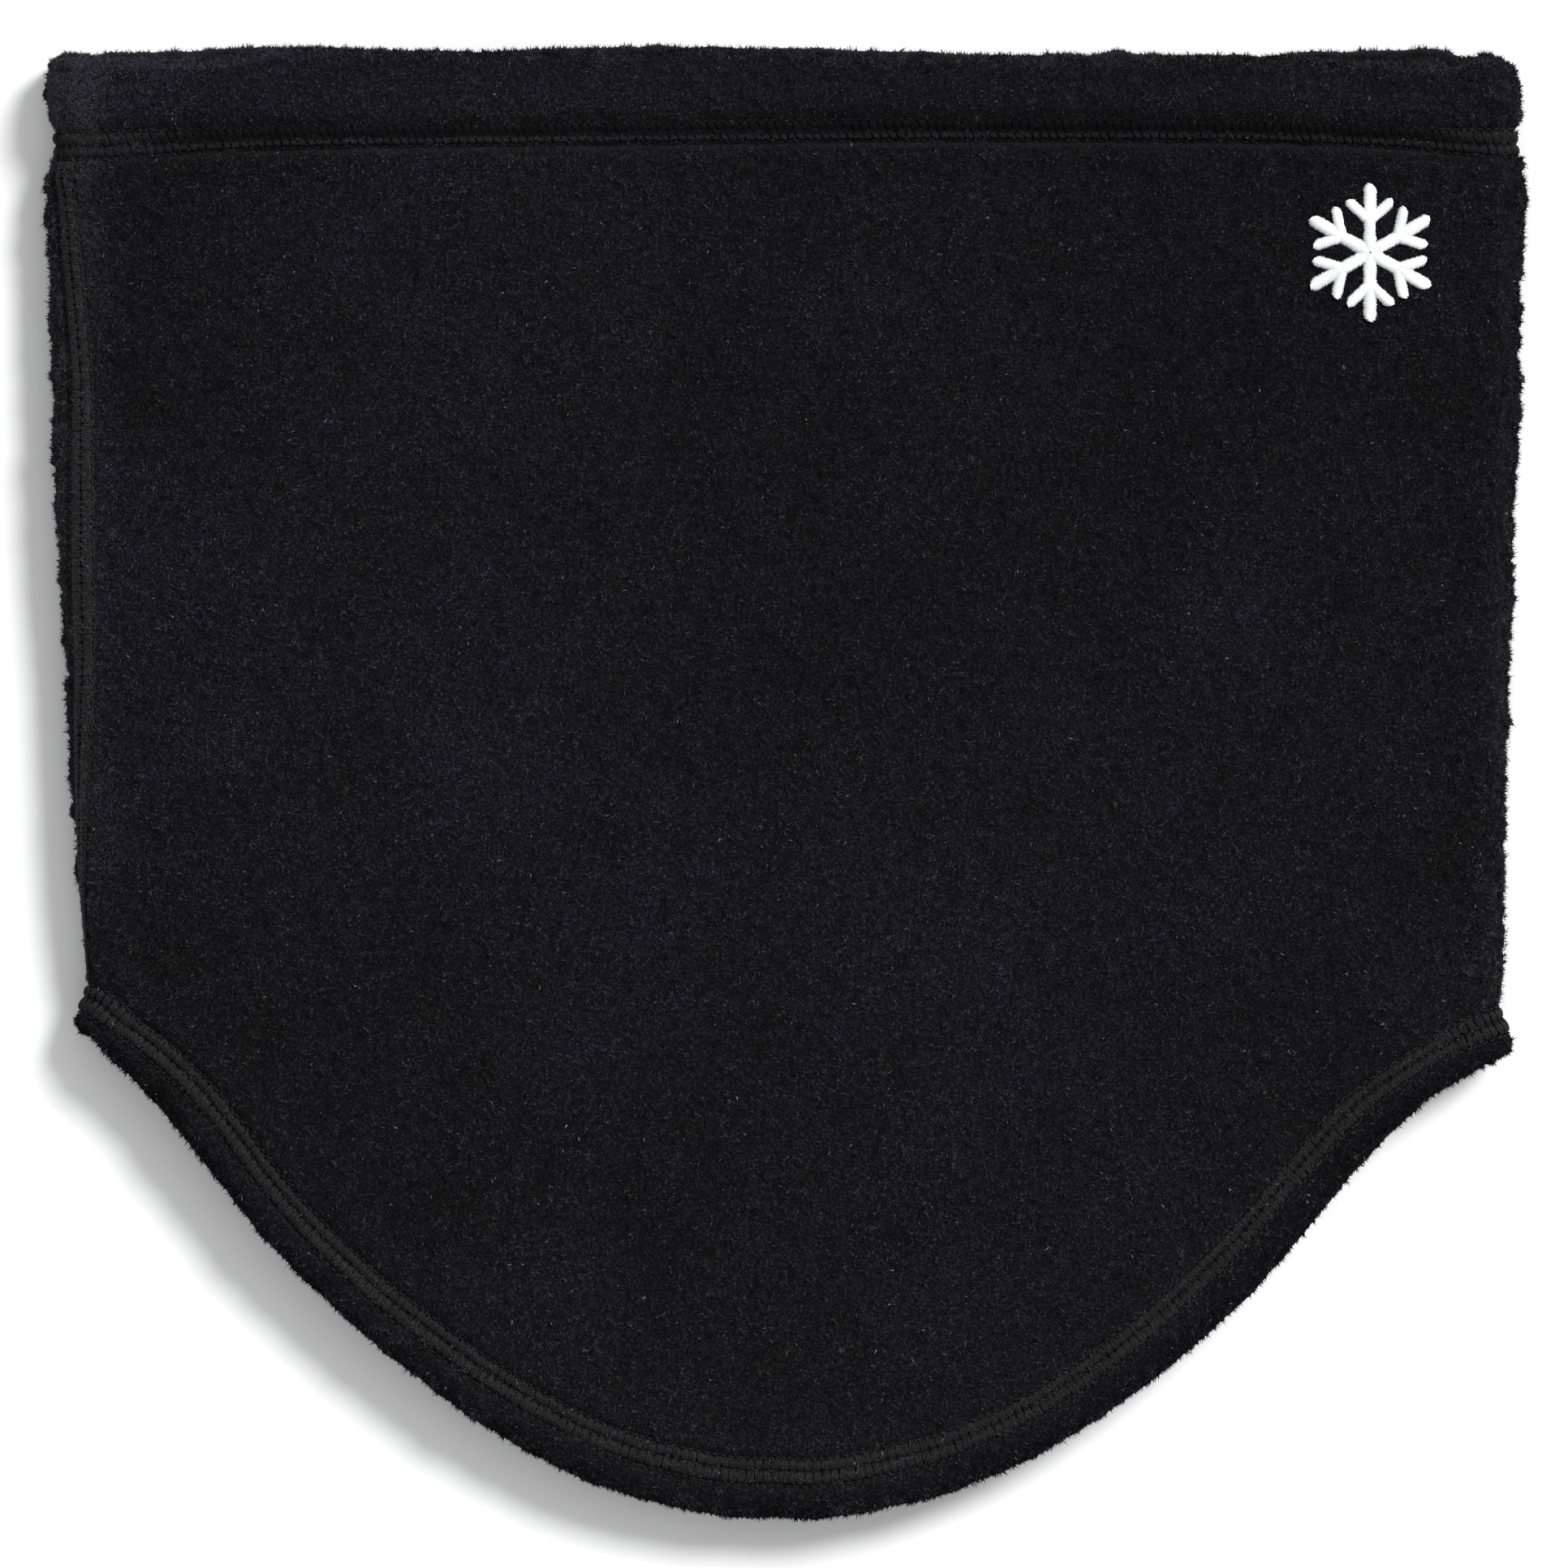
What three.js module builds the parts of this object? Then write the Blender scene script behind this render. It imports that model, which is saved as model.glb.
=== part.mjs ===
// Neck gaiter: a fleece tube with a bib-shaped lower edge, lying flat on its back.
// Millimetres. +X across the tube, +Y towards the chin hem, +Z up from the surface it lies on.
// The origin is the middle of its outline, on that surface.
//
// Two cloth panels meet at two side seams. Both ends of the tube are turned in and cover-stitched.
// A place on the tube is a column (where it is around the tube), a row (where it is along the
// tube) and a depth below the outer face, so every layer is built from the same three things.

import * as THREE from 'three';

// Outline of the laid tube
const HALF_WIDTH = 145.5;
const HALF_LENGTH = 145;
const SIDE_END_Y = -49; // where the bib curve leaves the two sides
const BIB_ROUNDNESS = 1.05; // above 1, the bib is fuller than a cosine wave
const SHOULDER = { from: 0.55, to: 1.1, lift: 0.42 }; // the curve is hollow near the sides
const TAPER = 5; // how far each side comes in, down to the bib hem's stitching
const TAPER_START_Y = 120;
const TAPER_END_Y = -36;
const FLARE = 2; // how far the side's lower end turns out again
const CORNER_DROP = 2; // the chin edge's ends lie this much lower than its middle
const CORNER_POWER = 8;

// Layers
const CLOTH = 2.5;
const HEM_RADIUS = 7.3; // half the laid height at a hem, and the outer radius of a side fold there
const BODY_RADIUS = 6.8; // the same between the hems
const THREAD = 0.45; // thickness of a flattened row of stitching
const CLEARANCE = 0.3; // between pieces that touch
const RECESS = 0.15; // how far stitching lies below the pile
const GROOVE = THREAD + CLEARANCE + RECESS;

// Hems, each distance measured along the cloth from the folded edge
const BAND = 4.8; // width of the three-needle cover stitch
const CHIN_BAND_AT = 16;
const BIB_BAND_AT = 6.6;
const RAW_EDGE_PAST_BAND = 1.2;
const HEM_STEP = 2.5; // length over which the turned-in layer thins out
const ROUNDING = [[0, 1.6], [0.7, 0.4], [2.2, 0]]; // [from the folded edge, cut off each face]
const GROOVE_WALL = 0.3;

// Side seams, as angles about the centre of each side fold
const LEFT_SEAM = 116; // rolled a little onto the front
const RIGHT_SEAM = -64; // rolled as much onto the back
const SEAM_HALF = 18; // half the angle that the seam's stitching covers
const SEAM_GROOVE = [21, 24]; // the groove's floor and lip, each side of the seam
const SEAM_GAP = 0.15; // each panel stops this short of the seam's centre line

// Steps
const FLAT_STEPS = 20;
const FOLD_STEP = 15; // degrees
const BODY_ROWS = 3;

// Embroidered mark, its backing, and the care label
const MARK = { x: 115, y: 104, radius: 13.5, thickness: 0.5, backingRadius: 15, backing: 0.4 };
const ARM = { half: 1.15, valley: 2.3, barbIn: 6.4, barbOut: 8.6, barbReach: 4.2, barbRise: 4.4 };
const ARMS = 6;
const LABEL = { width: 25, length: 19, layer: 0.3, between: 0.4, top: 119.5 };
const TACK = { width: 27, length: 1.6, inset: 1.2 };

const radians = THREE.MathUtils.degToRad;
const { smoothstep } = THREE.MathUtils;

// ---- materials ----

const material = (color, roughness) =>
  new THREE.MeshStandardMaterial({ color, roughness, metalness: 0 });

const fleece = material(0x1a1a1e, 0.95);
const seamThread = material(0x1f1f22, 0.7);
const markThread = material(0xf2f4fa, 0.5);
const stabiliser = material(0x2a2a2c, 0.9);
const satinTape = material(0xd9dad8, 0.55);

// ---- the tube's outline ----

// y of the chin hem's folded edge, at x on the untapered tube
function chinY(x) {
  return HALF_LENGTH - CORNER_DROP * Math.abs(x / HALF_WIDTH) ** CORNER_POWER;
}

// y of the bib hem's folded edge: half a cosine wave from side to side, hollow near its ends
function bibY(x) {
  const share = Math.abs(x / HALF_WIDTH);
  const wave = Math.cos((Math.PI / 2) * share ** BIB_ROUNDNESS);
  const hollow = SHOULDER.lift * smoothstep(share, SHOULDER.from, SHOULDER.to);
  return SIDE_END_Y - (SIDE_END_Y + HALF_LENGTH) * wave * (1 - hollow);
}

// how much longer a distance is along y than square to the bib's edge
function bibSlant(x) {
  const step = 0.5;
  return Math.hypot(1, (bibY(Math.abs(x)) - bibY(Math.abs(x) - step)) / step);
}

function halfWidthAt(y) {
  const taper = THREE.MathUtils.inverseLerp(TAPER_START_Y, TAPER_END_Y, y);
  const flare = smoothstep(-y, -TAPER_END_Y, -SIDE_END_Y);
  return HALF_WIDTH - TAPER * THREE.MathUtils.clamp(taper, 0, 1) + FLARE * flare;
}

// ---- columns: places around the tube, as seen in a cut across it ----

// On a side fold: side is -1 or 1, and angle is about that fold's centre.
function foldColumn(side, angle, slip = 0) {
  return { side, nx: Math.cos(radians(angle)), nz: Math.sin(radians(angle)), slip, angle };
}

// On the flat front (face 1) or back (face -1): side runs from -1 to 1.
function flatColumn(side, face) {
  return { side, nx: 0, nz: face, slip: 0, angle: null };
}

function foldColumns(side, from, to) {
  const steps = Math.max(1, Math.round(Math.abs(to - from) / FOLD_STEP));
  const columns = [];
  for (let i = 0; i <= steps; i++) {
    columns.push(foldColumn(side, from + ((to - from) * i) / steps));
  }
  return columns;
}

function flatColumns(face) {
  const columns = [];
  for (let i = 1; i < FLAT_STEPS; i++) {
    columns.push(flatColumn(face * (-1 + (2 * i) / FLAT_STEPS), face));
  }
  return columns;
}

// From a seam towards the rest of its panel: the cut edge, then the seam groove's floor and lip.
function seamColumns(side, seam, direction) {
  const cutEdge = foldColumn(side, seam, direction * SEAM_GAP);
  return [cutEdge, ...SEAM_GROOVE.map((step) => foldColumn(side, seam + direction * step))];
}

// The front panel runs clockwise from the left seam over the front to the right seam.
function frontColumns() {
  const lip = SEAM_GROOVE[1];
  return [
    ...seamColumns(-1, LEFT_SEAM, -1),
    ...foldColumns(-1, 90, 90),
    ...flatColumns(1),
    ...foldColumns(1, 90, RIGHT_SEAM + lip).slice(0, -1),
    ...seamColumns(1, RIGHT_SEAM, 1).reverse(),
  ];
}

function backColumns() {
  const lip = SEAM_GROOVE[1];
  return [
    ...seamColumns(1, RIGHT_SEAM, -1),
    ...foldColumns(1, -90, -90),
    ...flatColumns(-1),
    ...foldColumns(-1, 270, LEFT_SEAM + lip).slice(0, -1),
    ...seamColumns(-1, LEFT_SEAM, 1).reverse(),
  ];
}

function loopColumns() {
  return [
    ...foldColumns(-1, 270, 90),
    ...flatColumns(1),
    ...foldColumns(1, 90, -90),
    ...flatColumns(-1),
  ];
}

// ---- rows: places along the tube ----

// y(x) is where the row lies, outer and inner are the depths of the panel's two faces there,
// open says that the row lies between the two bands, where the side seams show.

function chinRow(distance, outer, inner, radius = HEM_RADIUS, open = false) {
  return { y: (x) => chinY(x) - distance, outer, inner, radius, open };
}

function bibRow(distance, outer, inner, radius = HEM_RADIUS, open = false) {
  return { y: (x) => bibY(x) + distance * bibSlant(x), outer, inner, radius, open };
}

// A hem's rows from its folded edge to where the cloth is single again
function hemRows(row, bandAt) {
  const double = 2 * CLOTH;
  const bandEnd = bandAt + BAND;
  const rawEdge = bandEnd + RAW_EDGE_PAST_BAND;
  const edge = ROUNDING.map(([distance, cut]) => row(distance, cut, double - cut));
  return [
    ...edge,
    row(bandAt - CLEARANCE - GROOVE_WALL, 0, double),
    row(bandAt - CLEARANCE, GROOVE, double - GROOVE),
    row(bandEnd + CLEARANCE, GROOVE, double - GROOVE, HEM_RADIUS, true),
    row(bandEnd + CLEARANCE + GROOVE_WALL, 0, double, HEM_RADIUS, true),
    row(rawEdge, 0, double, HEM_RADIUS, true),
    row(rawEdge + HEM_STEP, 0, CLOTH, HEM_RADIUS, true),
    row(rawEdge + 2 * HEM_STEP, 0, CLOTH, BODY_RADIUS, true),
  ];
}

function panelRows() {
  const chin = hemRows(chinRow, CHIN_BAND_AT);
  const bib = hemRows(bibRow, BIB_BAND_AT).reverse();
  const first = chin[chin.length - 1];
  const last = bib[0];
  const body = [];
  for (let i = 1; i < BODY_ROWS; i++) {
    const share = i / BODY_ROWS;
    body.push({ ...first, y: (x) => THREE.MathUtils.lerp(first.y(x), last.y(x), share) });
  }
  return [...chin, ...body, ...bib];
}

// ---- solids ----

// The point at a column and a row, depth below the tube's outer face
function place(column, row, depth) {
  const x = column.side * (HALF_WIDTH - HEM_RADIUS) + column.nx * HEM_RADIUS;
  const y = row.y(x);
  const centre = column.side * (halfWidthAt(y) - row.radius);
  const reach = row.radius - depth;
  return [
    centre + column.nx * reach - column.nz * column.slip,
    y,
    row.radius + column.nz * reach + column.nx * column.slip,
  ];
}

// A closed solid between an outer and an inner sheet of the same columns and rows. depths gives
// [outer, inner] at each place. In a loop the last column joins the first.
function layer(columns, rows, depths, loop = false) {
  const positions = [];
  const index = [];
  const across = columns.length;
  for (const face of [0, 1]) {
    for (const row of rows) {
      for (const column of columns) {
        positions.push(...place(column, row, depths(column, row)[face]));
      }
    }
  }
  const at = (i, j, face) => (face * rows.length + j) * across + (i % across);
  const quad = (a, b, c, d) => index.push(a, b, c, a, c, d);
  const lastColumn = loop ? across : across - 1;
  const lastRow = rows.length - 1;
  for (let i = 0; i < lastColumn; i++) {
    for (let j = 0; j < lastRow; j++) {
      quad(at(i, j, 0), at(i, j + 1, 0), at(i + 1, j + 1, 0), at(i + 1, j, 0));
      quad(at(i, j, 1), at(i + 1, j, 1), at(i + 1, j + 1, 1), at(i, j + 1, 1));
    }
    quad(at(i, 0, 0), at(i + 1, 0, 0), at(i + 1, 0, 1), at(i, 0, 1));
    quad(at(i, lastRow, 0), at(i, lastRow, 1), at(i + 1, lastRow, 1), at(i + 1, lastRow, 0));
  }
  for (let j = 0; j < lastRow && !loop; j++) {
    quad(at(0, j, 0), at(0, j, 1), at(0, j + 1, 1), at(0, j + 1, 0));
    const end = across - 1;
    quad(at(end, j, 0), at(end, j + 1, 0), at(end, j + 1, 1), at(end, j, 1));
  }
  const geometry = new THREE.BufferGeometry();
  geometry.setAttribute('position', new THREE.Float32BufferAttribute(positions, 3));
  geometry.setIndex(index);
  geometry.computeVertexNormals();
  return geometry;
}

// A cloth panel, thinner under its stitching
function panel(columns) {
  const inSeam = (column) =>
    [LEFT_SEAM, RIGHT_SEAM].some((seam) => Math.abs(column.angle - seam) <= SEAM_GROOVE[0]) &&
    column.angle !== null;
  return layer(columns, panelRows(), (column, row) => {
    const pressed = row.open && row.outer === 0 && inSeam(column) ? GROOVE : 0;
    return [row.outer + pressed, row.inner - pressed];
  });
}

// Stitching all round a hem, on its outer face or on the face inside the tube
function hemStitching(row, bandAt, inside) {
  const top = inside ? 2 * CLOTH - GROOVE + CLEARANCE : RECESS;
  const rows = [row(bandAt, 0, 0), row(bandAt + BAND, 0, 0)];
  rows.sort((a, b) => b.y(0) - a.y(0));
  return layer(loopColumns(), rows, () => [top, top + THREAD], true);
}

// Stitching down a side seam, from the chin band to the bib band
function seamStitching(side, seam, inside) {
  const columns = [1, 0.5, 0, -0.5, -1].map((share) => foldColumn(side, seam + share * SEAM_HALF));
  const open = panelRows().filter((row) => row.open);
  return layer(columns, open, (column, row) => {
    const groove = row.outer === 0 ? GROOVE : 0;
    const top = inside ? row.inner - groove + CLEARANCE : RECESS;
    return [top, top + THREAD];
  });
}

// A six-armed star with a pair of barbs on each arm, as one outline
function markShape() {
  const { half, valley, barbIn, barbOut, barbReach, barbRise } = ARM;
  const side = [
    [barbIn, half],
    [barbIn + barbReach, half + barbRise],
    [barbOut + barbReach, half + barbRise - half],
    [barbOut, half],
    [MARK.radius, half],
  ];
  const arm = [...side.map(([along, off]) => [along, -off]), ...[...side].reverse()];
  const points = [];
  for (let k = 0; k < ARMS; k++) {
    const turn = (Math.PI * 2 * k) / ARMS + Math.PI / 2;
    const origin = new THREE.Vector2(0, 0);
    points.push(...arm.map(([along, off]) => new THREE.Vector2(along, off).rotateAround(origin, turn)));
    points.push(new THREE.Vector2(valley, 0).rotateAround(origin, turn + Math.PI / ARMS));
  }
  return new THREE.Shape(points);
}

function markEmbroidery() {
  const geometry = new THREE.ExtrudeGeometry(markShape(), {
    depth: MARK.thickness,
    bevelEnabled: false,
  });
  return geometry.translate(MARK.x, MARK.y, 2 * BODY_RADIUS + CLEARANCE);
}

function markBacking() {
  const geometry = new THREE.CylinderGeometry(
    MARK.backingRadius,
    MARK.backingRadius,
    MARK.backing,
    36,
  );
  geometry.rotateX(Math.PI / 2);
  const under = 2 * BODY_RADIUS - CLOTH - CLEARANCE - MARK.backing / 2;
  return geometry.translate(MARK.x, MARK.y, under);
}

// A tape folded in two, its loop towards the bib and its two ends under the tack
function careLabel() {
  const { width, length, layer: tape, between, top } = LABEL;
  const height = 2 * tape + between;
  const profile = new THREE.Shape();
  profile.moveTo(0, 0);
  profile.lineTo(length - height / 2, 0);
  profile.absarc(length - height / 2, height / 2, height / 2, -Math.PI / 2, Math.PI / 2, false);
  profile.lineTo(0, height);
  profile.lineTo(0, height - tape);
  profile.lineTo(length - height / 2, height - tape);
  profile.absarc(length - height / 2, height / 2, between / 2, Math.PI / 2, -Math.PI / 2, true);
  profile.lineTo(0, tape);
  profile.closePath();
  const geometry = new THREE.ExtrudeGeometry(profile, {
    depth: width,
    bevelEnabled: false,
    curveSegments: 6,
  });
  // the profile's x runs down the tube, its y up, and its depth across
  const turn = new THREE.Matrix4().makeBasis(
    new THREE.Vector3(0, -1, 0),
    new THREE.Vector3(0, 0, 1),
    new THREE.Vector3(-1, 0, 0),
  );
  turn.setPosition(width / 2, top, CLOTH + CLEARANCE);
  return geometry.applyMatrix4(turn);
}

function labelTack() {
  const { layer: tape, between, top } = LABEL;
  const geometry = new THREE.BoxGeometry(TACK.width, TACK.length, THREAD);
  const over = CLOTH + CLEARANCE + 2 * tape + between + CLEARANCE + THREAD / 2;
  return geometry.translate(0, top - TACK.inset - TACK.length / 2, over);
}

// ---- the assembly ----

function named(name, geometry, surface) {
  const mesh = new THREE.Mesh(geometry, surface);
  mesh.name = name;
  return mesh;
}

const cloth = new THREE.Group();
cloth.add(named('front_panel', panel(frontColumns()), fleece));
cloth.add(named('back_panel', panel(backColumns()), fleece));

const hems = new THREE.Group();
for (const [name, row, bandAt] of [['chin', chinRow, CHIN_BAND_AT], ['bib', bibRow, BIB_BAND_AT]]) {
  hems.add(named(`${name}_hem_cover_stitch`, hemStitching(row, bandAt, false), seamThread));
  hems.add(named(`${name}_hem_inner_stitch`, hemStitching(row, bandAt, true), seamThread));
}

const seams = new THREE.Group();
for (const [name, side, seam] of [['left', -1, LEFT_SEAM], ['right', 1, RIGHT_SEAM]]) {
  seams.add(named(`${name}_seam_flatlock_stitch`, seamStitching(side, seam, false), seamThread));
  seams.add(named(`${name}_seam_inner_stitch`, seamStitching(side, seam, true), seamThread));
}

const trims = new THREE.Group();
trims.add(named('embroidered_mark', markEmbroidery(), markThread));
trims.add(named('mark_backing', markBacking(), stabiliser));
trims.add(named('care_label', careLabel(), satinTape));
trims.add(named('care_label_tack', labelTack(), seamThread));

const neckGaiter = new THREE.Group();
neckGaiter.add(cloth, hems, seams, trims);

export default neckGaiter;
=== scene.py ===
import math

import bpy
import numpy as np
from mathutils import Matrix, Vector


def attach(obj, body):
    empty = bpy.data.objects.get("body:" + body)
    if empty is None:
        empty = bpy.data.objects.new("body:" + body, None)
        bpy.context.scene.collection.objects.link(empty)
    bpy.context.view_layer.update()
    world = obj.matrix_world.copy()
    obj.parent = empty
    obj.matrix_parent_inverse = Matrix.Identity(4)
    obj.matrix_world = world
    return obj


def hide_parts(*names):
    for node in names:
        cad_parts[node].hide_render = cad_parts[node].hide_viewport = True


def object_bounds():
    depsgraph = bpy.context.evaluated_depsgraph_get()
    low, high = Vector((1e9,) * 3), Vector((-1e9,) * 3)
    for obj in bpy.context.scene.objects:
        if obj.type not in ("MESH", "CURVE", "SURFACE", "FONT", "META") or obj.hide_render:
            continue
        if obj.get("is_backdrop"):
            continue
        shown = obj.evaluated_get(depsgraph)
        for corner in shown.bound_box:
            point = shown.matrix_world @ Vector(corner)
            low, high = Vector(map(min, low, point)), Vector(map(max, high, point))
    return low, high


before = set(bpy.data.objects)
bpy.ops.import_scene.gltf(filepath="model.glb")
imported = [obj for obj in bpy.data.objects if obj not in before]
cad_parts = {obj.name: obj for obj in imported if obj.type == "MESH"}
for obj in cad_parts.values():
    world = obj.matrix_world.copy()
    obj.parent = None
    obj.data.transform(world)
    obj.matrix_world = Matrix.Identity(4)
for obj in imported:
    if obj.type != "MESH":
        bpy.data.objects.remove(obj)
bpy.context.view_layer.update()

# A fleece neck gaiter laid flat. Lengths here are millimetres until a mesh is made: +X across,
# +Y to the chin hem, +Z up, the tube's back layer on the floor.
MM = 0.001

# The tube's section: two flat layers joined by a round fold at each side
BODY_RADIUS = 6.8
HEM_RADIUS = 7.3
STRAIGHT = 277.4  # flat part of each layer, fold to fold
FOLD = math.pi * BODY_RADIUS
AROUND = 2 * (STRAIGHT + FOLD)  # the whole way round
SEAM_RISE = math.radians(64)  # left seam's place up its fold, right seam's down its own
LEAD = BODY_RADIUS * (math.pi / 2 - SEAM_RISE)  # left seam to the start of the front's flat part
RIGHT_SEAM = LEAD + STRAIGHT + BODY_RADIUS * (math.pi / 2 + SEAM_RISE)
LEFT_FOLD = LEAD + 2 * STRAIGHT + FOLD + BODY_RADIUS * math.pi / 2
RIGHT_FOLD = LEAD + STRAIGHT + BODY_RADIUS * math.pi / 2

# The heights at which a column's place across is read, for the chin's edge and band and for the bib
CHIN_EDGE_Y = 141.0
CHIN_BAND_Y = 126.0
BIB_Y = -80.0

# The cloth and its hems
CLOTH = 2.3
HEM_FOLD = CLOTH + 0.1  # outer radius of a hem's turn
CHIN_TURN_IN = 22.0
BIB_TURN_IN = 12.6
BODY_NEEDLE = 2.3  # outer needle lines from a band's middle one:
EDGE_NEEDLE = 2.9  # towards the body, and towards the hem's edge
SEAM_NEEDLE = 2.4
STITCH = 1.66
SQUEEZED = 0.76  # the chin band's width where the roll leans over it
TUFT = 1.1  # the pile's tufts, where they show at an edge

# Rows of a panel: near each band, by distance from its middle needle line towards the body, then
# the distance where the body's own rows start, and their number
CHIN_STEPS = np.concatenate([np.arange(-6, -3.4, 0.75), np.arange(-3.4, 3.6, 0.36),
                             np.arange(3.6, 9, 0.8)])
BIB_STEPS = np.concatenate([np.arange(9, 3.6, -0.8), np.arange(3.6, -3.6, -0.36)])
PAST_CHIN, PAST_BIB = 9.2, 9.8
MIDDLE_ROWS = 172

# Width and thickness of the threads, and the strands in one stitch of a ladder
COVER_STRAND = (0.27, 0.24)
NEEDLE_THREAD = (0.30, 0.26)
SEAM_STRAND = (0.31, 0.20)
SEAM_NEEDLE_THREAD = (0.30, 0.30)
LOOPER_THREAD = (0.36, 0.30)
SATIN_THREAD = (0.44, 0.30)
TACK_THREAD = (0.5, 0.42)
STRANDS = 6

# Embroidered snowflake
MARK = (115.0, 104.0)
MARK_RADIUS = 13.5


# ------ curves

def smooth_curve(points, width):
    """A smooth function of one number through points, rounded over width."""
    points = sorted(points)
    at = np.array([p[0] for p in points], float)
    value = np.array([p[1] for p in points], float)
    step = width / 6
    fine = np.arange(at[0] - 4 * width, at[-1] + 4 * width, step)
    raw = np.interp(fine, at, value)
    reach = np.arange(-12, 13)
    kernel = np.exp(-0.5 * (reach / 4.0) ** 2)
    kernel /= kernel.sum()
    soft = np.convolve(np.pad(raw, 12, mode="edge"), kernel, mode="valid")
    return lambda t: np.interp(t, fine, soft)


def ease(t, low, high):
    t = np.clip((t - low) / (high - low), 0, 1)
    return t * t * (3 - 2 * t)


# Each side's outline, by height: the hem roll, the pinch at its stitching, the body's taper, the
# pinch at the bib's stitching and the flared corner
left_edge = smooth_curve([
    (146, -144.4), (143, -144.8), (139.5, -145.8), (135, -146.0), (131.5, -145.4), (128, -144.3),
    (123, -144.1), (120.6, -145.2), (118.5, -145.7), (94, -144.9), (60, -143.7), (42, -142.9),
    (20, -141.5), (-6, -140.1), (-22, -139.1), (-35, -137.8), (-38.5, -137.5), (-41, -138.2),
    (-43.7, -139.1), (-47, -140.6), (-50, -139.4), (-60, -138.0)], 1.4)
right_edge = smooth_curve([
    (146, 142.4), (142, 143.3), (138, 144.4), (134, 145.1), (131, 145.0), (128.4, 144.0),
    (125.6, 144.6), (123, 144.7), (121, 145.6), (114.6, 146.0), (107, 145.5), (99, 144.7),
    (80, 144.6), (60, 144.0), (42, 143.3), (0, 141.7), (-40, 141.2), (-43.7, 140.6),
    (-46, 141.7), (-51, 143.8), (-55, 143.0), (-62, 141.0)], 1.4)
# The chin edge of each layer, by place across
front_chin = smooth_curve([
    (-146, 143.2), (-140, 142.9), (-130, 142.1), (-112, 142.2), (-103, 144.2), (-90, 144.3),
    (-62, 143.5), (-40, 144.2), (-8, 144.0), (18, 142.4), (60, 142.6), (100, 142.4), (112, 141.7),
    (132, 141.6), (139.5, 143.5), (143, 142.5), (146, 140.9)], 2.0)
back_chin = smooth_curve([
    (-146, 142.9), (-130, 144.0), (-112, 144.7), (-98, 145.1), (-62, 143.7), (-38, 145.0),
    (-15, 145.0), (22, 144.1), (45, 143.4), (65, 143.9), (90, 143.3), (104, 143.8), (118, 144.5),
    (131, 144.5), (137, 141.6), (146, 140.2)], 2.0)
# The middle needle line of the chin hem, by place across
chin_needles = smooth_curve([
    (-146, 124.6), (-138, 124.7), (-130, 125.1), (-117, 125.7), (-100, 126.4), (-50, 127.1),
    (0, 127.7), (20, 127.9), (70, 127.9), (90, 127.7), (107, 127.2), (122, 126.4),
    (135, 125.3), (146, 125.2)], 5.0)
# From the bib's edge to its hem's middle needle line, square to the edge, by place across
bib_reach = smooth_curve([
    (-140, 6.9), (-133, 7.2), (-126, 7.6), (-121, 8.1), (-114, 8.7), (-100, 8.4), (-89, 8.0),
    (-75, 8.6), (-60, 9.1), (0, 9.0), (60, 9.0), (75, 9.5), (88, 10.0), (98, 9.7), (108, 8.9),
    (113, 8.5), (121, 8.4), (127, 8.0), (132, 7.4), (140, 7.0)], 8.0)
# Painted shade on the chin stitching where the hem's roll leans over it, by place across: how pale it
# is, 1 in the open
chin_shade = smooth_curve([
    (-146, 1.1), (-142, 1.0), (-136, 0.78), (-130, 0.60), (-118, 0.58), (-60, 0.64), (0, 0.60),
    (30, 0.50), (60, 0.44), (110, 0.42), (130, 0.48), (136, 0.60), (142, 0.85), (146, 1.0)], 4.0)
# How far the left seam has rolled up its fold, by height, against SEAM_RISE: mm round the tube
seam_roll = smooth_curve([
    (146, -5.2), (131, -5.0), (126, -3.2), (119, -0.6), (102, 0.4), (89, 1.6), (76, 2.0),
    (62, 1.4), (45, 1.0), (25, -0.1), (5, -1.9), (-15, -4.2), (-27, -6.4), (-37, -7.6),
    (-60, -7.8)], 6.0)


def bib_side(x, side_y, bottom, middle, width, power, start, drop):
    """One half of the bib's edge: a round bottom, then a straighter shoulder."""
    share = np.clip(np.abs(x - middle) / width, 0, 1.03)
    fall = (side_y - bottom) * np.cos(math.pi / 2 * share ** power)
    return side_y - fall * (1 - drop * ease(share, start, 1.1))


def bib_edge(x):
    """The bib's edge: its two halves meet near the middle, and each ends in a flared corner."""
    left = bib_side(x, -46.0, -144.7, -3.0, 139.6, 1.029, 0.675, 0.455)
    right = bib_side(x, -59.3, -145.0, -5.5, 136.0, 1.155, 0.683, 0.389)
    curve = left + (right - left) * ease(x, -14, 7)
    return curve + (-50.4 - curve) * ease(-x, 135, 139) + (-54.2 - curve) * ease(x, 135, 141)


# ------ the tube

def around(u):
    """Arc length from the left seam over the front: place across, and the outward direction."""
    u = np.mod(u - LEAD, AROUND)
    front = u < STRAIGHT
    right = ~front & (u < STRAIGHT + FOLD)
    back = ~front & ~right & (u < 2 * STRAIGHT + FOLD)
    across = np.select(
        [front, right, back],
        [-1 + 2 * u / STRAIGHT, 1.0, 1 - 2 * (u - STRAIGHT - FOLD) / STRAIGHT], -1.0)
    turn = np.select(
        [front, right, back],
        [0.0, (u - STRAIGHT) / BODY_RADIUS, math.pi],
        math.pi + (u - 2 * STRAIGHT - FOLD) / BODY_RADIUS)
    return across, np.sin(turn), np.cos(turn)


def section_at(u, y):
    """The tube's section at column u and height y: its middle, the half width between the middles
    of its folds, the fold's radius, and around(u) with the seam's roll."""
    low, high = left_edge(y), right_edge(y)
    radius = BODY_RADIUS + (HEM_RADIUS - BODY_RADIUS) * ease(y, 117, 127)
    return (low + high) / 2, (high - low) / 2 - radius, radius, *around(u + seam_roll(y))


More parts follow.
